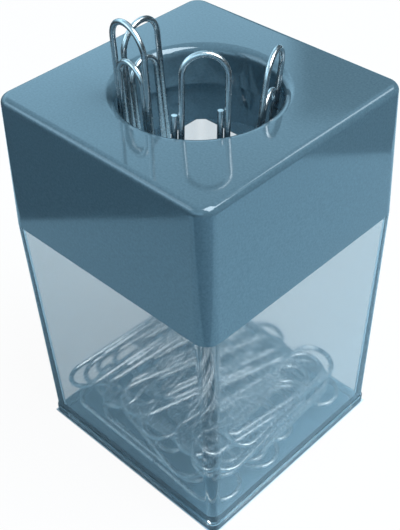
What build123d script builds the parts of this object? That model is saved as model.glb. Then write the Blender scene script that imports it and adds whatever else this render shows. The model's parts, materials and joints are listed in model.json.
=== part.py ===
from build123d import *
import math
import os
import random

import numpy as np

# A square desk dispenser for paper clips, in millimetres: a clear drafted container, an opaque cap that
# slips over its neck, a round mouth with a ring magnet behind its collar, clips caught standing in the
# mouth and a heap of loose clips in the container. Origin: centre of the base, +Z up.

# Driving dimensions of the two shells
SEAM_SIDE = 44.0
CAP_TOP_SIDE = 43.2
BASE_SIDE = 40.8
CONTAINER_HEIGHT = 45.3
CAP_HEIGHT = 23.7
CORNER_RADIUS = 2.6

# Container walls, foot and neck
CONTAINER_WALL = 1.5
FLOOR_THICKNESS = 2.0
INNER_CORNER_RADIUS = 1.1
FOOT_RIM_HEIGHT = 1.6
FOOT_RIM_PROUD = 0.3
FOOT_CORNER_RADIUS = 1.4
FOOT_RIM_CHAMFER = 0.25
FOOT_RIM_WIDTH = 2.2
FOOT_RECESS_DEPTH = 0.6
NECK_HEIGHT = 4.0
NECK_WALL = 0.75
NECK_LEAD_IN = 0.3

# Cap walls and mouth
CAP_WALL = 1.4
CAP_TOP_WALL = 1.8
CAP_TOP_FILLET = 1.2
LIP_CLEARANCE = 0.1
NECK_TOP_CLEARANCE = 0.3
MOUTH_RADIUS = 12.5
MOUTH_FILLET = 1.5
COLLAR_DEPTH = 6.5
COLLAR_WALL = 1.3

# Ring magnet and the flanged sleeve that holds it up and carries the bore on below the collar
MAGNET_CLEARANCE = 0.2
MAGNET_WIDTH = 4.6
MAGNET_THICKNESS = 3.5
RETAINER_CLEARANCE = 0.05
RETAINER_FLANGE = 1.2
RETAINER_WALL = 1.2
RETAINER_DEPTH = 14.2

# Paper clip: one wire bent into an outer loop, a lower loop and an inner loop
WIRE_DIAMETER = 0.9
CLIP_LENGTH = 33.0
OUTER_LOOP_RADIUS = 3.7
LEG_STEP = 1.0
INNER_LOOP_DROP = 6.4
OUTER_TIP_HEIGHT = 9.7
INNER_TIP_HEIGHT = 8.8

# Standing clips: rise over the cap, direction of the seat on the collar, turn about the vertical, lean as
# sideways travel for each unit of height, and whether the clip stands on its outer loop
STANDING_WIRE_SIDES = 6
STANDING_BEND_SEGMENTS = 6
STANDING_WALL_GAP = 0.25
STANDING_CLIPS = {
    "standing_clip_front": dict(rise=11.6, seat=-46.0, turn=43.0, lean=(-0.044, 0.076), inverted=True),
    "standing_clip_right": dict(rise=7.3, seat=21.2, turn=113.0, lean=(-0.033, 0.244)),
    "standing_clip_left": dict(rise=14.4, seat=-110.0, turn=172.5, lean=(0.044, -0.074)),
}

# One more clip hangs on the left one, a fixed step behind it
BACK_CLIP_RISE = 11.3
BACK_CLIP_TURN = 96.0
BACK_CLIP_STEP_X = -3.6
BACK_CLIP_STEP_Y = 5.75

# Loose heap: the first clips lie nearly along the walls, the last ones turn further
LOOSE_CLIP_COUNT = 23
LOOSE_WIRE_SIDES = 4
LOOSE_BEND_SEGMENTS = 3
HEAP_SEED = 67
HEAP_MARGIN = 0.05
HEAP_CELL = 0.15
HEAP_TRIALS = 20
HEAP_FIRST_TURN = 5.0
HEAP_LAST_TURN = 40.0
HEAP_STEEPEST = 0.6
HEAP_WALL_GAP = 0.1

# Fineness of the placing of clips
EDGE_TOLERANCE = 0.001
SEAT_TOLERANCE = 0.001
SLOPE_TOLERANCE = 0.002
SLOPE_STEPS = 7
SLOPE_NARROWING = 3
TIP_PASSES = 3
QUARTER_TURN = 90
HALF_TURN = 180

# Derived heights and sizes
SEAM_Z = CONTAINER_HEIGHT
DOWN_FROM_SEAM = Plane(origin=(0, 0, SEAM_Z), z_dir=(0, 0, -1))
TOP_Z = SEAM_Z + CAP_HEIGHT
CAP_DRAFT = math.degrees(math.atan2(SEAM_SIDE - CAP_TOP_SIDE, 2 * CAP_HEIGHT))
CAP_UNDERSIDE_Z = TOP_Z - CAP_TOP_WALL
COLLAR_END_Z = TOP_Z - COLLAR_DEPTH
COLLAR_RADIUS = MOUTH_RADIUS + COLLAR_WALL
FLOOR_TOP_Z = FOOT_RECESS_DEPTH + FLOOR_THICKNESS
CONTAINER_DRAFT = math.degrees(math.atan2(SEAM_SIDE - BASE_SIDE, 2 * CONTAINER_HEIGHT))
FOOT_RIM_SIDE = BASE_SIDE + 2 * FOOT_RIM_PROUD
INNER_SEAM_SIDE = SEAM_SIDE - 2 * CONTAINER_WALL
NECK_SIDE = INNER_SEAM_SIDE + 2 * NECK_WALL
NECK_CORNER_RADIUS = INNER_CORNER_RADIUS + NECK_WALL
NECK_TOP_Z = SEAM_Z + NECK_HEIGHT
LIP_SIDE = NECK_SIDE + 2 * LIP_CLEARANCE
LIP_TOP_Z = NECK_TOP_Z + NECK_TOP_CLEARANCE
MAGNET_INNER_RADIUS = COLLAR_RADIUS + MAGNET_CLEARANCE
MAGNET_OUTER_RADIUS = MAGNET_INNER_RADIUS + MAGNET_WIDTH
MAGNET_BOTTOM_Z = CAP_UNDERSIDE_Z - MAGNET_THICKNESS
RETAINER_BORE_RADIUS = COLLAR_RADIUS + RETAINER_CLEARANCE
RETAINER_SLEEVE_RADIUS = RETAINER_BORE_RADIUS + RETAINER_WALL
RETAINER_END_Z = TOP_Z - RETAINER_DEPTH
WIRE_RADIUS = WIRE_DIAMETER / 2
LOWER_LOOP_RADIUS = OUTER_LOOP_RADIUS - LEG_STEP / 2
INNER_LOOP_RADIUS = OUTER_LOOP_RADIUS - LEG_STEP
CLIP_TOP = CLIP_LENGTH / 2
OUTER_LOOP_CENTRE = (0, CLIP_TOP - WIRE_RADIUS - OUTER_LOOP_RADIUS)
LOWER_LOOP_CENTRE = (LEG_STEP / 2, WIRE_RADIUS + LOWER_LOOP_RADIUS - CLIP_TOP)
INNER_LOOP_CENTRE = (0, CLIP_TOP - WIRE_RADIUS - INNER_LOOP_DROP - INNER_LOOP_RADIUS)
OUTER_TIP = (-OUTER_LOOP_RADIUS, OUTER_TIP_HEIGHT - CLIP_TOP)
INNER_TIP = (INNER_LOOP_RADIUS, INNER_TIP_HEIGHT - CLIP_TOP)

os.makedirs("parts", exist_ok=True)


def side_at(low_side, low_z, high_side, high_z, height):
    """Side of a drafted square shell at a height, from its two ends."""
    return low_side + (high_side - low_side) * (height - low_z) / (high_z - low_z)


def container_side(height):
    return side_at(BASE_SIDE, 0, SEAM_SIDE, SEAM_Z, height)


def cap_side(height):
    return side_at(SEAM_SIDE, SEAM_Z, CAP_TOP_SIDE, TOP_Z, height)


def square_at(height, side, radius):
    """A rounded square profile at a height."""
    with BuildSketch(Plane.XY.offset(height)) as profile:
        RectangleRounded(side, side, radius)
    return profile.sketch


def rims(solid, radius):
    """Circular edges of a radius, from the lowest up."""
    circles = solid.edges().filter_by(GeomType.CIRCLE)
    return circles.filter_by(lambda edge: abs(edge.radius - radius) < EDGE_TOLERANCE).sort_by(Axis.Z)


def save(part, name):
    """Label a finished piece and write it to its own file."""
    part.label = name
    export_step(part, f"parts/{name}.step")


# Container: drafted clear box with a proud foot rim, a recess under the floor and an inset neck
with BuildPart() as container:
    with BuildSketch(DOWN_FROM_SEAM):
        RectangleRounded(SEAM_SIDE, SEAM_SIDE, CORNER_RADIUS)
    extrude(amount=CONTAINER_HEIGHT, taper=CONTAINER_DRAFT)
    add(square_at(SEAM_Z, NECK_SIDE, NECK_CORNER_RADIUS))
    extrude(amount=NECK_HEIGHT)
    chamfer(container.faces().sort_by(Axis.Z)[-1].outer_wire().edges(), NECK_LEAD_IN)
    add(square_at(0, FOOT_RIM_SIDE, FOOT_CORNER_RADIUS))
    extrude(amount=FOOT_RIM_HEIGHT)
    chamfer(container.faces().sort_by(Axis.Z)[0].outer_wire().edges(), FOOT_RIM_CHAMFER)
    add(square_at(0, FOOT_RIM_SIDE - 2 * FOOT_RIM_WIDTH, FOOT_CORNER_RADIUS))
    extrude(amount=FOOT_RECESS_DEPTH, mode=Mode.SUBTRACT)
    add(square_at(FLOOR_TOP_Z, container_side(FLOOR_TOP_Z) - 2 * CONTAINER_WALL, INNER_CORNER_RADIUS))
    add(square_at(SEAM_Z, INNER_SEAM_SIDE, INNER_CORNER_RADIUS))
    loft(ruled=True, mode=Mode.SUBTRACT)
    add(square_at(SEAM_Z, INNER_SEAM_SIDE, INNER_CORNER_RADIUS))
    extrude(amount=NECK_HEIGHT, mode=Mode.SUBTRACT)
save(container.part, "container")

# Cap: drafted hood, hollow below, rebated over the neck, with a rolled mouth and its collar
with BuildPart() as cap:
    with BuildSketch(Plane.XY.offset(SEAM_Z)):
        Rectangle(SEAM_SIDE, SEAM_SIDE)
    extrude(amount=CAP_HEIGHT, taper=CAP_DRAFT)
    fillet(cap.edges().group_by(Axis.Z)[1], CORNER_RADIUS)
    fillet(cap.faces().sort_by(Axis.Z)[-1].edges(), CAP_TOP_FILLET)
    add(square_at(SEAM_Z, LIP_SIDE, NECK_CORNER_RADIUS + LIP_CLEARANCE))
    extrude(amount=LIP_TOP_Z - SEAM_Z, mode=Mode.SUBTRACT)
    add(square_at(LIP_TOP_Z, cap_side(LIP_TOP_Z) - 2 * CAP_WALL, CORNER_RADIUS - CAP_WALL))
    add(square_at(CAP_UNDERSIDE_Z, cap_side(CAP_UNDERSIDE_Z) - 2 * CAP_WALL, CORNER_RADIUS - CAP_WALL))
    loft(ruled=True, mode=Mode.SUBTRACT)
    with BuildSketch(Plane.XY.offset(COLLAR_END_Z)):
        Circle(COLLAR_RADIUS)
    extrude(until=Until.NEXT)
    with BuildSketch(Plane.XY.offset(COLLAR_END_Z)):
        Circle(MOUTH_RADIUS)
    extrude(amount=COLLAR_DEPTH, mode=Mode.SUBTRACT)
    fillet(rims(cap, MOUTH_RADIUS)[-1], MOUTH_FILLET)
save(cap.part, "cap")

# Ring magnet round the collar, against the underside of the cap
with BuildPart() as ring_magnet:
    with BuildSketch(Plane.XY.offset(MAGNET_BOTTOM_Z)):
        Circle(MAGNET_OUTER_RADIUS)
        Circle(MAGNET_INNER_RADIUS, mode=Mode.SUBTRACT)
    extrude(amount=MAGNET_THICKNESS)
save(ring_magnet.part, "ring_magnet")

# Retainer: a sleeve pressed on the collar, with a flange under the magnet
with BuildPart() as retainer:
    with BuildSketch(Plane.XZ):
        with BuildLine():
            Polyline(
                (RETAINER_BORE_RADIUS, RETAINER_END_Z),
                (RETAINER_SLEEVE_RADIUS, RETAINER_END_Z),
                (RETAINER_SLEEVE_RADIUS, MAGNET_BOTTOM_Z - RETAINER_FLANGE),
                (MAGNET_OUTER_RADIUS, MAGNET_BOTTOM_Z - RETAINER_FLANGE),
                (MAGNET_OUTER_RADIUS, MAGNET_BOTTOM_Z),
                (RETAINER_BORE_RADIUS, MAGNET_BOTTOM_Z),
                close=True,
            )
        make_face()
    revolve(axis=Axis.Z)
save(retainer.part, "magnet_retainer")


def bend(centre, radius, start, segments):
    """Corner points of a half turn, clockwise from the start angle."""
    angles = [math.radians(start - HALF_TURN * step / segments) for step in range(segments + 1)]
    return [(centre[0] + radius * math.cos(a), centre[1] + radius * math.sin(a)) for a in angles]


def clip_corners(segments):
    """The wire's centre line as a polyline, with each half turn in a number of segments."""
    outer = bend(OUTER_LOOP_CENTRE, OUTER_LOOP_RADIUS, HALF_TURN, segments)
    lower = bend(LOWER_LOOP_CENTRE, LOWER_LOOP_RADIUS, 0, segments)
    inner = bend(INNER_LOOP_CENTRE, INNER_LOOP_RADIUS, HALF_TURN, segments)
    return [OUTER_TIP, *outer, *lower, *inner, INNER_TIP]


def bent_wire(sides, segments):
    """A clip of many-sided wire in its own plane: across is X, along is Y, its middle is the origin."""
    with BuildPart() as clip:
        with BuildLine() as wire:
            Polyline(*clip_corners(segments))
        with BuildSketch(Plane(origin=wire.line @ 0, z_dir=wire.line % 0)):
            RegularPolygon(WIRE_RADIUS, sides)
        sweep(transition=Transition.RIGHT)
    return clip.part


def clip_line(segments):
    """Points along the wire, close enough together to measure clearances with."""
    corners = np.array(clip_corners(segments))
    steps = np.linalg.norm(np.diff(corners, axis=0), axis=1)
    travelled = np.concatenate([[0], np.cumsum(steps)])
    stops = np.linspace(0, travelled[-1], int(travelled[-1] / WIRE_RADIUS))
    return np.column_stack([np.interp(stops, travelled, corners[:, i]) for i in range(2)])


STANDING_LINE = clip_line(STANDING_BEND_SEGMENTS)
LOOSE_LINE = clip_line(LOOSE_BEND_SEGMENTS)


def clip_plane(centre, across, along):
    """Plane of a clip from its middle and its own two directions."""
    return Plane(origin=centre, x_dir=across, z_dir=across.cross(along))


def wire_in_space(line, plane):
    """A clip's points along its wire when it lies in a plane."""
    across = np.array(tuple(plane.x_dir))
    along = np.array(tuple(plane.y_dir))
    origin = np.array(tuple(plane.origin))
    return origin + line[:, :1] * across + line[:, 1:] * along


# Standing clips
def standing_plane(place, rise, turn, lean, inverted=False):
    """Plane of a clip that leans in the mouth, with its top a given rise over the cap."""
    upwards = Vector(lean[0], lean[1], 1).normalized()
    level = Vector(1, 0, 0).rotate(Axis.Z, turn)
    across = (level - upwards * level.dot(upwards)).normalized()
    along = upwards * (-1 if inverted else 1)
    plane = clip_plane(Vector(place.X, place.Y, TOP_Z), across, along)
    top = wire_in_space(STANDING_LINE, plane)[:, 2].max() + WIRE_RADIUS
    plane.origin += Vector(0, 0, TOP_Z + rise - top)
    return plane


def seat_on_collar(seat, **pose):
    """Move a standing clip outwards until its wire is the wall gap away from the collar's bore."""
    outwards = Vector(1, 0, 0).rotate(Axis.Z, seat)
    limit = MOUTH_RADIUS - STANDING_WALL_GAP - WIRE_RADIUS
    near, far = 0, MOUTH_RADIUS
    while far - near > SEAT_TOLERANCE:
        reach = (near + far) / 2
        points = wire_in_space(STANDING_LINE, standing_plane(outwards * reach, **pose))
        beside = points[(points[:, 2] > COLLAR_END_Z) & (points[:, 2] < TOP_Z)]
        if np.hypot(beside[:, 0], beside[:, 1]).max() > limit:
            far = reach
        else:
            near = reach
    return standing_plane(outwards * near, **pose)


standing = {name: seat_on_collar(**pose) for name, pose in STANDING_CLIPS.items()}
left_pose = STANDING_CLIPS["standing_clip_left"]
back_place = standing["standing_clip_left"].origin + Vector(BACK_CLIP_STEP_X, BACK_CLIP_STEP_Y)
standing["standing_clip_back"] = standing_plane(back_place, BACK_CLIP_RISE, BACK_CLIP_TURN, left_pose["lean"])
standing_wire = bent_wire(STANDING_WIRE_SIDES, STANDING_BEND_SEGMENTS)
for name, plane in standing.items():
    with BuildPart() as standing_clip:
        with Locations(plane.location):
            add(standing_wire)
    save(standing_clip.part, name)


# Loose heap: each clip is dropped on the ones below and tips until its middle is as low as it goes
class Heap:
    def __init__(self):
        self.half = container_side(FLOOR_TOP_Z) / 2 - CONTAINER_WALL
        self.count = math.ceil(2 * self.half / HEAP_CELL) + 1
        self.floor = np.full((self.count, self.count), FLOOR_TOP_Z + WIRE_RADIUS + HEAP_MARGIN)
        self.reach = WIRE_DIAMETER + HEAP_MARGIN + HEAP_CELL / math.sqrt(2)

    def cells(self, points):
        """Row and column of the cell under each point."""
        index = np.rint((points[:, :2] + self.half) / HEAP_CELL).astype(int)
        return np.clip(index, 0, self.count - 1)

    def height_under(self, points):
        """Lowest height that a wire may have at each point."""
        index = self.cells(points)
        return self.floor[index[:, 0], index[:, 1]]

    def cover(self, points):
        """Raise the floor over a clip that has come to rest."""
        span = math.ceil(self.reach / HEAP_CELL)
        base = self.cells(points)
        for i in range(-span, span + 1):
            for j in range(-span, span + 1):
                index = base + (i, j)
                inside = ((index >= 0) & (index < self.count)).all(axis=1)
                offset = index * HEAP_CELL - self.half - points[:, :2]
                room = self.reach**2 - (offset**2).sum(axis=1)
                near = inside & (room > 0)
                lift = points[near, 2] + np.sqrt(room[near])
                np.maximum.at(self.floor, (index[near, 0], index[near, 1]), lift)


def resting_slopes(points, under):
    """Slopes in X and Y of the plane over all the heights that is lowest at the middle."""
    best = np.zeros(2)
    span = HEAP_STEEPEST
    while span > SLOPE_TOLERANCE:
        steps = np.linspace(-span, span, SLOPE_STEPS)
        slopes = best + np.array([(a, b) for a in steps for b in steps])
        slopes = np.clip(slopes, -HEAP_STEEPEST, HEAP_STEEPEST)
        heights = (under - slopes @ points[:, :2].T).max(axis=1)
        best = slopes[heights.argmin()]
        span /= SLOPE_NARROWING
    return best


def tilted_plane(place, turn, slopes, face):
    """Plane of a clip at a turn about the vertical, lying on the given slopes, either face up."""
    up = Vector(-slopes[0], -slopes[1], 1).normalized()
    level = Vector(1, 0, 0).rotate(Axis.Z, turn)
    along = (level - up * level.dot(up)).normalized()
    return clip_plane(place, along.cross(up) * face, along)


def drop_clip(heap, chance, widest_turn):
    """One trial: a place and a turn by chance, and the plane in which the clip comes to rest there."""
    limit = heap.half - WIRE_RADIUS - HEAP_WALL_GAP
    turn = QUARTER_TURN * chance.randrange(4) + chance.uniform(-widest_turn, widest_turn)
    face = chance.choice((-1, 1))
    flat = tilted_plane(Vector(), turn, (0, 0), face)
    freedom = limit - np.abs(wire_in_space(LOOSE_LINE, flat)[:, :2]).max(axis=0)
    if freedom.min() < 0:
        return None
    swings = [math.radians(chance.uniform(-QUARTER_TURN, QUARTER_TURN)) for _ in freedom]
    place = Vector(*(room * math.sin(swing) for room, swing in zip(freedom, swings)))
    plane = tilted_plane(place, turn, (0, 0), face)
    for _ in range(TIP_PASSES):
        points = wire_in_space(LOOSE_LINE, plane)
        slopes = resting_slopes(points - (place.X, place.Y, 0), heap.height_under(points))
        plane = tilted_plane(place, turn, slopes, face)
    points = wire_in_space(LOOSE_LINE, plane)
    plane.origin += Vector(0, 0, (heap.height_under(points) - points[:, 2]).max())
    return plane


def pile_clips():
    """Planes of all the loose clips, from the floor upwards."""
    chance = random.Random(HEAP_SEED)
    heap = Heap()
    planes = []
    while len(planes) < LOOSE_CLIP_COUNT:
        widening = (HEAP_LAST_TURN - HEAP_FIRST_TURN) * len(planes) / LOOSE_CLIP_COUNT
        trials = [drop_clip(heap, chance, HEAP_FIRST_TURN + widening) for _ in range(HEAP_TRIALS)]
        resting = [plane for plane in trials if plane is not None]
        if resting:
            lowest = min(resting, key=lambda plane: plane.origin.Z)
            heap.cover(wire_in_space(LOOSE_LINE, lowest))
            planes.append(lowest)
    return planes


loose_wire = bent_wire(LOOSE_WIRE_SIDES, LOOSE_BEND_SEGMENTS)
for number, plane in enumerate(pile_clips(), start=1):
    with BuildPart() as loose_clip:
        with Locations(plane.location):
            add(loose_wire)
    save(loose_clip.part, f"loose_clip_{number:02d}")
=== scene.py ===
import json
import math

import bpy
import numpy as np
from mathutils import Matrix, Vector


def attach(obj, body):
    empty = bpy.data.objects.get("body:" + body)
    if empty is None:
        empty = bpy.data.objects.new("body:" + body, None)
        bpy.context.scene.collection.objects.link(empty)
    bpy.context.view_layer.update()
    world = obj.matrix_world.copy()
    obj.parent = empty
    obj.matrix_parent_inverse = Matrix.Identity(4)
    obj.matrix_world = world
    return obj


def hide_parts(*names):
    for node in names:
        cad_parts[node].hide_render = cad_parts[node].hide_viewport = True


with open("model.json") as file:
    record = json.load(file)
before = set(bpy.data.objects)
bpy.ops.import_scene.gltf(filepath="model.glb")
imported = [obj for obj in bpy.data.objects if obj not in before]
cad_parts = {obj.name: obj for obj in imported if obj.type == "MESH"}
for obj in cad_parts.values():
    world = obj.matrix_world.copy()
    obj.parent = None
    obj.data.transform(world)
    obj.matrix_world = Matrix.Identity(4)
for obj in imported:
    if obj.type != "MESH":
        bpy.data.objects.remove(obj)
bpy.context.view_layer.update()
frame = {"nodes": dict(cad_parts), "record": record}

MM = 0.001
WHITE = (1.0, 1.0, 1.0)

# Paper clip: one wire bent into an outer loop, a lower loop and an inner loop
WIRE_RADIUS = 0.45 * MM
OUTER_LOOP_RADIUS = 3.7 * MM
LEG_STEP = 1.0 * MM
INNER_LOOP_DROP = 6.4 * MM
OUTER_TIP_HEIGHT = 9.7 * MM
INNER_TIP_HEIGHT = 8.8 * MM
BEND_STEPS = 20
WIRE_BEVEL_STEPS = 4

# Floor: how white it is to each kind of ray, and the height below which the container is its foot
FLOOR_HALF_SIZE = 3.0
FLOOR_HEIGHT = -0.2 * MM
FLOOR_COLOUR = (0.64, 0.83, 0.94)
FLOOR_COLOUR_IN_GLOSS = (0.4, 0.66, 0.82)
FLOOR_WHITE_TO_EYE = 0.95
FLOOR_WHITE_THROUGH_GLASS = 0.75
FLOOR_WHITE_IN_GLOSS = 0.12
FLOOR_WHITE_INSIDE = 0.8
FOOT_SLICE = 0.5 * MM

# Boards on the floor: directions in degrees, and near edges in metres from the object's axis
BOARD_HALF_SIZE = 0.4
BOARD_HEIGHT = -0.1 * MM
BOARD_TO_LEFT = 225.0
BOARD_TO_RIGHT = 45.0
BOARD_TO_FRONT = -45.0
LEFT_BOARD_EDGE = 0.0926
RIGHT_BOARD_EDGE = 0.116
FRONT_BOARD_EDGE = 0.078

# Surroundings: heights and sideways places are parts of a unit direction, up and to the camera's right
WORLD_STRENGTH = 0.15
GLOSS_TONE = (0.47, 0.76, 0.94)
HORIZON_LIGHT = 0.6
WALL_LIGHT = 2.0
WALL_HEIGHT = 0.45
CEILING_LIGHT = 0.83
CEILING_HEIGHT = 0.62
LEFT_LIGHT = 1.3
LEFT_END = -0.1
INSIDE_LIGHT = 0.25
CABINET_LIGHT = 0.1
CABINET_START = 0.075
CABINET_END = 0.1
CABINET_TOP = 0.54
CABINET_BLUR = 0.008

# What the lamps aim at
LAMP_TARGET = (0, 0, 0.05)

# Camera, from the photograph's viewing angle
CAMERA_AZIMUTH = 45.1761
CAMERA_ELEVATION = 39.943
CAMERA_ROLL = -1.9257
CAMERA_DISTANCE = 0.17402
CAMERA_TARGET_Z = 0.037565
CAMERA_LENS = 70.92
CAMERA_SHIFT = (-0.00936, -0.02447)
CAMERA_NEAR = 1.0 * MM


def node_tree(name):
    """A new material with an empty tree, and its output."""
    material = bpy.data.materials.new(name)
    material.use_nodes = True
    tree = material.node_tree
    tree.nodes.clear()
    output = tree.nodes.new("ShaderNodeOutputMaterial")
    return material, tree, output


def principled(tree, **values):
    """A Principled shader with plain values on its sockets."""
    shader = tree.nodes.new("ShaderNodeBsdfPrincipled")
    for socket, value in values.items():
        shader.inputs[socket.replace("_", " ")].default_value = value
    return shader


def noise(tree, scale, detail=4.0, roughness=0.55):
    """Noise in the object's own coordinates, in metres."""
    coordinates = tree.nodes.new("ShaderNodeTexCoord")
    texture = tree.nodes.new("ShaderNodeTexNoise")
    texture.inputs["Scale"].default_value = scale
    texture.inputs["Detail"].default_value = detail
    texture.inputs["Roughness"].default_value = roughness
    tree.links.new(coordinates.outputs["Object"], texture.inputs["Vector"])
    return texture.outputs["Fac"]


def ramp(tree, factor, low, high, start=0.3, end=0.7):
    """A value that goes from low to high as a factor goes from start to end."""
    mapped = tree.nodes.new("ShaderNodeMapRange")
    mapped.inputs["From Min"].default_value = start
    mapped.inputs["From Max"].default_value = end
    mapped.inputs["To Min"].default_value = low
    mapped.inputs["To Max"].default_value = high
    tree.links.new(factor, mapped.inputs["Value"])
    return mapped.outputs["Result"]


def tint(tree, factor, first, second):
    """A colour that goes from a first to a second as a factor goes from 0 to 1."""
    blend = tree.nodes.new("ShaderNodeMix")
    blend.data_type = "RGBA"
    blend.inputs["A"].default_value = (*first, 1)
    blend.inputs["B"].default_value = (*second, 1)
    tree.links.new(factor, blend.inputs["Factor"])
    return blend.outputs["Result"]


def grain_tint(tree, scale, dark, light):
    """A colour that changes with a grain."""
    return tint(tree, ramp(tree, noise(tree, scale), low=0.0, high=1.0), dark, light)


def bump(tree, height, strength, distance):
    """Bump from a height."""
    node = tree.nodes.new("ShaderNodeBump")
    node.inputs["Strength"].default_value = strength
    node.inputs["Distance"].default_value = distance
    tree.links.new(height, node.inputs["Height"])
    return node.outputs["Normal"]


def operate(tree, operation, first, second=0):
    """A Math node on sockets or numbers."""
    node = tree.nodes.new("ShaderNodeMath")
    node.operation = operation
    for socket, value in zip(node.inputs, (first, second)):
        if isinstance(value, (int, float)):
            socket.default_value = value
        else:
            tree.links.new(value, socket)
    return node.outputs["Value"]


def choose(tree, factor, off, on):
    """One of two sockets or numbers, as a factor is 0 or 1."""
    left = operate(tree, "MULTIPLY", operate(tree, "SUBTRACT", 1, factor), off)
    return operate(tree, "ADD", left, operate(tree, "MULTIPLY", factor, on))


def place_parts(tree, kind):
    """X, Y and Z of one kind of texture coordinates."""
    source = tree.nodes.new("ShaderNodeTexCoord")
    split = tree.nodes.new("ShaderNodeSeparateXYZ")
    tree.links.new(source.outputs[kind], split.inputs["Vector"])
    return [split.outputs[axis] for axis in "XYZ"]


def ray_kinds(tree):
    """Whether a ray comes from the eye, through glass, or by way of a gloss and no dull surface."""
    path = tree.nodes.new("ShaderNodeLightPath").outputs
    glossed = operate(tree, "GREATER_THAN", path["Glossy Depth"], 0)
    mirrored = choose(tree, path["Is Diffuse Ray"], glossed, 0)
    return path["Is Camera Ray"], path["Is Transmission Ray"], mirrored


def blend_shaders(tree, factor, off, on, output):
    """Put one of two shaders on a material's output, as a factor goes from 0 to 1."""
    blend = tree.nodes.new("ShaderNodeMixShader")
    tree.links.new(factor, blend.inputs["Fac"])
    tree.links.new(off, blend.inputs[1])
    tree.links.new(on, blend.inputs[2])
    tree.links.new(blend.outputs["Shader"], output.inputs["Surface"])


def blue_plastic():
    """Opaque blue-grey moulding with a fine grain and a tinted gloss."""
    material, tree, output = node_tree("blue_plastic")
    shader = principled(tree, IOR=1.7, Specular_Tint=(0.75, 0.9, 1, 1))
    shade = grain_tint(tree, scale=3000.0, dark=(0.059, 0.116, 0.157), light=(0.081, 0.154, 0.207))
    gloss = ramp(tree, noise(tree, scale=420.0), low=0.05, high=0.09)
    relief = bump(tree, noise(tree, scale=2600.0, detail=2.0), strength=0.05, distance=0.02 * MM)
    tree.links.new(shade, shader.inputs["Base Color"])
    tree.links.new(gloss, shader.inputs["Roughness"])
    tree.links.new(relief, shader.inputs["Normal"])
    tree.links.new(shader.outputs["BSDF"], output.inputs["Surface"])
    return material


def clear_plastic():
    """Clear moulding with a slight haze that goes blue with depth and lets lamps through."""
    material, tree, output = node_tree("clear_plastic")
    shader = principled(
        tree,
        Base_Color=(0.97, 0.985, 0.99, 1),
        Roughness=0.06,
        IOR=1.49,
        Transmission_Weight=1.0,
        Specular_Tint=(0.65, 0.85, 1, 1),
        Sheen_Weight=0.5,
        Sheen_Roughness=0.5,
        Sheen_Tint=(0.42, 0.68, 0.85, 1),
    )
    relief = bump(tree, noise(tree, scale=90.0, detail=2.0), strength=0.05, distance=0.05 * MM)
    tree.links.new(relief, shader.inputs["Normal"])
    open_way = tree.nodes.new("ShaderNodeBsdfTransparent")
    open_way.inputs["Color"].default_value = (0.74, 0.85, 0.9, 1)
    path = tree.nodes.new("ShaderNodeLightPath").outputs
    unseen = operate(tree, "MAXIMUM", path["Is Shadow Ray"], path["Is Diffuse Ray"])
    blend_shaders(tree, unseen, shader.outputs["BSDF"], open_way.outputs["BSDF"], output)
    depth = tree.nodes.new("ShaderNodeVolumeAbsorption")
    depth.inputs["Color"].default_value = (0.35, 0.41, 0.44, 1)
    depth.inputs["Density"].default_value = 260.0
    tree.links.new(depth.outputs["Volume"], output.inputs["Volume"])
    return material


def clip_wire():
    """Bright drawn steel wire."""
    material, tree, output = node_tree("clip_wire")
    shader = principled(tree, Metallic=1.0)
    shade = grain_tint(tree, scale=900.0, dark=(0.48, 0.5, 0.51), light=(0.62, 0.64, 0.65))
    gloss = ramp(tree, noise(tree, scale=1500.0), low=0.18, high=0.3)
    tree.links.new(shade, shader.inputs["Base Color"])
    tree.links.new(gloss, shader.inputs["Roughness"])
    tree.links.new(shader.outputs["BSDF"], output.inputs["Surface"])
    return material


def magnet_ferrite():
    """Dull ground ferrite."""
    material, tree, output = node_tree("magnet_ferrite")
    shader = principled(tree, Roughness=0.6)
    shade = grain_tint(tree, scale=1800.0, dark=(0.012, 0.012, 0.013), light=(0.035, 0.035, 0.037))
    relief = bump(tree, noise(tree, scale=2200.0), strength=0.2, distance=0.02 * MM)
    tree.links.new(shade, shader.inputs["Base Color"])
    tree.links.new(relief, shader.inputs["Normal"])
    tree.links.new(shader.outputs["BSDF"], output.inputs["Surface"])
    return material


def board_material(name, colour):
    """A dull board that only the gloss outside the clear plastic shows."""
    material, tree, output = node_tree(name)
    shader = principled(tree, Base_Color=(*colour, 1), Roughness=0.7)
    nothing = tree.nodes.new("ShaderNodeBsdfTransparent")
    _, through, mirrored = ray_kinds(tree)
    shown = choose(tree, through, mirrored, 0)
    blend_shaders(tree, shown, nothing.outputs["BSDF"], shader.outputs["BSDF"], output)
    return material


def pale_floor(foot_half):
    """A pale floor that is white to the eye and through glass, and keeps its shade under the foot."""
    material, tree, output = node_tree("pale_floor")
    shader = principled(tree, Roughness=0.7)
    glow = tree.nodes.new("ShaderNodeEmission")
    camera, through, mirrored = ray_kinds(tree)
    tree.links.new(tint(tree, mirrored, WHITE, GLOSS_TONE), glow.inputs["Color"])
    tree.links.new(tint(tree, mirrored, FLOOR_COLOUR, FLOOR_COLOUR_IN_GLOSS), shader.inputs["Base Color"])
    to_eye = operate(tree, "MULTIPLY", camera, FLOOR_WHITE_TO_EYE)
    seen = operate(tree, "MAXIMUM", to_eye, operate(tree, "MULTIPLY", through, FLOOR_WHITE_THROUGH_GLASS))
    glossed = choose(tree, through, FLOOR_WHITE_IN_GLOSS, FLOOR_WHITE_INSIDE)
    white = choose(tree, mirrored, seen, glossed)
    x, y, _ = place_parts(tree, "Object")
    away = operate(tree, "MAXIMUM", operate(tree, "ABSOLUTE", x), operate(tree, "ABSOLUTE", y))
    outside = operate(tree, "GREATER_THAN", away, foot_half)
    share = operate(tree, "MULTIPLY", white, outside)
    blend_shaders(tree, share, shader.outputs["BSDF"], glow.outputs["Emission"], output)
    return material


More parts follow.
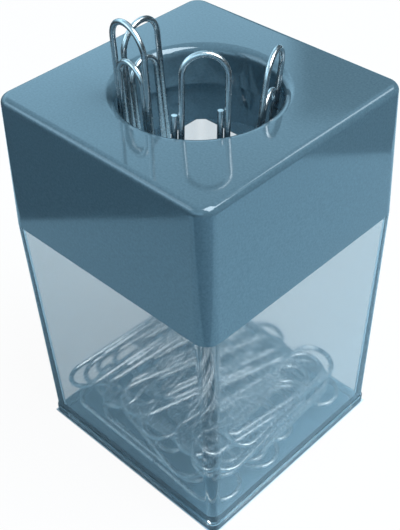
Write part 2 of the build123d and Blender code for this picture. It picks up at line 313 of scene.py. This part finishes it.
def bend(centre, radius, start):
    """Points of a half turn, clockwise from the start angle in degrees."""
    angles = [math.radians(start - 180 * step / BEND_STEPS) for step in range(BEND_STEPS + 1)]
    return [(centre[0] + radius * math.cos(a), centre[1] + radius * math.sin(a)) for a in angles]


def clip_line(length):
    """The wire's centre line for a clip of a length: across, along."""
    half = length / 2
    lower_radius = OUTER_LOOP_RADIUS - LEG_STEP / 2
    inner_radius = OUTER_LOOP_RADIUS - LEG_STEP
    outer = bend((0, half - WIRE_RADIUS - OUTER_LOOP_RADIUS), OUTER_LOOP_RADIUS, 180)
    lower = bend((LEG_STEP / 2, WIRE_RADIUS + lower_radius - half), lower_radius, 0)
    inner = bend((0, half - WIRE_RADIUS - INNER_LOOP_DROP - inner_radius), inner_radius, 180)
    first = (-OUTER_LOOP_RADIUS, OUTER_TIP_HEIGHT - half)
    last = (inner_radius, INNER_TIP_HEIGHT - half)
    return np.array([first, *outer, *lower, *inner, last])


def node_points(node):
    """The vertices of a CAD node."""
    vertices = frame["nodes"][node].data.vertices
    points = np.empty(3 * len(vertices))
    vertices.foreach_get("co", points)
    return points.reshape(-1, 3)


def nearest_sum(points, line):
    """How far points lie from the points of a line, summed."""
    return np.linalg.norm(points[:, None] - line[None], axis=2).min(axis=1).sum()


def clip_path(node):
    """The smooth centre line of a clip, laid where its CAD node is."""
    points = node_points(node)
    middle = points.mean(axis=0)
    _, axes = np.linalg.eigh(np.cov((points - middle).T))
    in_plane = axes[:, 1:]
    flat = (points - middle) @ in_plane
    low, high = flat.min(axis=0), flat.max(axis=0)
    line = clip_line(high[1] - low[1])
    fits = []
    for signs in ((1, 1), (1, -1), (-1, 1), (-1, -1)):
        turned = line * signs
        shift = (low + high - turned.min(axis=0) - turned.max(axis=0)) / 2
        fits.append((nearest_sum(flat, turned + shift), turned + shift))
    best = min(fits, key=lambda fit: fit[0])[1]
    return middle + best @ in_plane.T


def wire_piece(name, path):
    """A round wire along a path, as a mesh with smooth sides and flat ends."""
    curve = bpy.data.curves.new(name, "CURVE")
    curve.dimensions = "3D"
    curve.bevel_depth = WIRE_RADIUS
    curve.bevel_resolution = WIRE_BEVEL_STEPS
    curve.use_fill_caps = True
    spline = curve.splines.new("POLY")
    spline.points.add(len(path) - 1)
    for point, place in zip(spline.points, path):
        point.co = (*place, 1)
    shape = bpy.data.objects.new(name + "_line", curve)
    bpy.context.scene.collection.objects.link(shape)
    bpy.context.view_layer.update()
    mesh = bpy.data.meshes.new_from_object(shape.evaluated_get(bpy.context.evaluated_depsgraph_get()))
    bpy.data.objects.remove(shape)
    piece = bpy.data.objects.new(name, mesh)
    bpy.context.scene.collection.objects.link(piece)
    for face in mesh.polygons:
        face.use_smooth = len(face.vertices) == 4
    return piece


def dress(node, material):
    """Give a CAD node its material."""
    obj = frame["nodes"][node]
    obj.data.materials.clear()
    obj.data.materials.append(material)


def plane(name, half, place, material, turn=0.0):
    """A flat square of the stage, turned by an angle in degrees."""
    mesh = bpy.data.meshes.new(name)
    corners = [(-half, -half, 0), (half, -half, 0), (half, half, 0), (-half, half, 0)]
    mesh.from_pydata(corners, [], [(0, 1, 2, 3)])
    obj = bpy.data.objects.new(name, mesh)
    obj.location = place
    obj.rotation_euler = (0, 0, math.radians(turn))
    obj.data.materials.append(material)
    bpy.context.scene.collection.objects.link(obj)


def board(name, toward, edge, material):
    """A board on the floor in a direction, with its near edge at a distance from the object's axis."""
    angle = math.radians(toward)
    reach = edge + BOARD_HALF_SIZE
    spot = (reach * math.cos(angle), reach * math.sin(angle), BOARD_HEIGHT)
    plane(name, BOARD_HALF_SIZE, spot, material, toward)


def area_light(name, toward, distance, size, power, colour):
    """A soft square lamp in a direction from the object, aimed at its middle."""
    lamp = bpy.data.lights.new(name, "AREA")
    lamp.shape = "SQUARE"
    lamp.size = size
    lamp.energy = power
    lamp.color = colour
    obj = bpy.data.objects.new(name, lamp)
    direction = Vector(toward).normalized()
    obj.location = Vector(LAMP_TARGET) + direction * distance
    obj.rotation_euler = (-direction).to_track_quat("-Z", "Y").to_euler()
    bpy.context.scene.collection.objects.link(obj)


def studio_world():
    """White to the eye. In the gloss, a bright wall, a dimmer ceiling and a dark cabinet at the right."""
    world = bpy.data.worlds.new("studio")
    bpy.context.scene.world = world
    world.use_nodes = True
    tree = world.node_tree
    background = tree.nodes["Background"]
    x, y, z = place_parts(tree, "Generated")
    aside = operate(tree, "MULTIPLY", operate(tree, "ADD", x, y), math.sqrt(0.5))
    below = ramp(tree, z, HORIZON_LIGHT, WALL_LIGHT, 0.0, WALL_HEIGHT)
    above = ramp(tree, z, WALL_LIGHT, CEILING_LIGHT, WALL_HEIGHT, CEILING_HEIGHT)
    leftward = ramp(tree, aside, LEFT_LIGHT, 1.0, LEFT_END, 0.0)
    wall = operate(tree, "MULTIPLY", operate(tree, "MINIMUM", below, above), leftward)
    clear = ramp(tree, aside, 1.0, CABINET_LIGHT, CABINET_START, CABINET_END)
    over = ramp(tree, z, CABINET_LIGHT, 1.0, CABINET_TOP - CABINET_BLUR, CABINET_TOP + CABINET_BLUR)
    room = operate(tree, "MULTIPLY", wall, operate(tree, "MAXIMUM", clear, over))
    camera, through, mirrored = ray_kinds(tree)
    room = operate(tree, "MULTIPLY", room, choose(tree, through, 1, INSIDE_LIGHT))
    plain = choose(tree, operate(tree, "MAXIMUM", camera, through), WORLD_STRENGTH, 1)
    tree.links.new(choose(tree, mirrored, plain, room), background.inputs["Strength"])
    tree.links.new(tint(tree, mirrored, WHITE, GLOSS_TONE), background.inputs["Color"])


def set_camera():
    """The photograph's own view."""
    azimuth = math.radians(CAMERA_AZIMUTH)
    elevation = math.radians(CAMERA_ELEVATION)
    level = math.cos(elevation)
    back = Vector((math.sin(azimuth) * level, -math.cos(azimuth) * level, math.sin(elevation)))
    data = bpy.data.cameras.new("camera")
    data.lens = CAMERA_LENS
    data.sensor_fit = "AUTO"
    data.shift_x, data.shift_y = CAMERA_SHIFT
    data.clip_start = CAMERA_NEAR
    camera = bpy.data.objects.new("camera", data)
    bpy.context.scene.collection.objects.link(camera)
    place = Vector((0, 0, CAMERA_TARGET_Z)) + back * CAMERA_DISTANCE
    aim = (-back).to_track_quat("-Z", "Y").to_matrix().to_4x4()
    camera.matrix_world = Matrix.Translation(place) @ aim @ Matrix.Rotation(math.radians(CAMERA_ROLL), 4, "Z")
    bpy.context.scene.camera = camera


# Shells and what they hold
MOULDING = blue_plastic()
dress("cap", MOULDING)
dress("magnet_retainer", MOULDING)
dress("container", clear_plastic())
dress("ring_magnet", magnet_ferrite())

# Clips, each drawn again as a round wire
WIRE = clip_wire()
for body, nodes in frame["record"]["behaviour"]["bodies"].items():
    for node in nodes:
        if "clip" in node:
            clip = wire_piece(node + "_wire", clip_path(node))
            clip.data.materials.append(WIRE)
            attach(clip, body)
            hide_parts(node)

# Floor, with a shade as wide as the container's foot
container_points = node_points("container")
foot = container_points[container_points[:, 2] < FOOT_SLICE]
plane("floor", FLOOR_HALF_SIZE, (0, 0, FLOOR_HEIGHT), pale_floor(np.abs(foot[:, :2]).max()))

# Boards, which only the gloss shows
DARK_BOARD = board_material("dark_board", (0.01, 0.012, 0.014))
GREY_BOARD = board_material("grey_board", (0.13, 0.24, 0.33))
board("left_board", BOARD_TO_LEFT, LEFT_BOARD_EDGE, DARK_BOARD)
board("right_board", BOARD_TO_RIGHT, RIGHT_BOARD_EDGE, DARK_BOARD)
board("front_board", BOARD_TO_FRONT, FRONT_BOARD_EDGE, GREY_BOARD)

# Lamps: the key from above, one for the highlight along the cap's right edge, and a weak one at the left
area_light("key", toward=(0.46, 0.17, 0.87), distance=0.8, size=0.6, power=9.3, colour=WHITE)
area_light("rim", toward=(0.22, 0.68, 0.7), distance=0.8, size=0.2, power=0.45, colour=WHITE)
area_light("fill", toward=(-0.54, -0.64, 0.54), distance=0.7, size=0.4, power=0.6, colour=(0.85, 0.94, 1.0))

studio_world()
set_camera()
bpy.context.scene.view_settings.view_transform = "Standard"
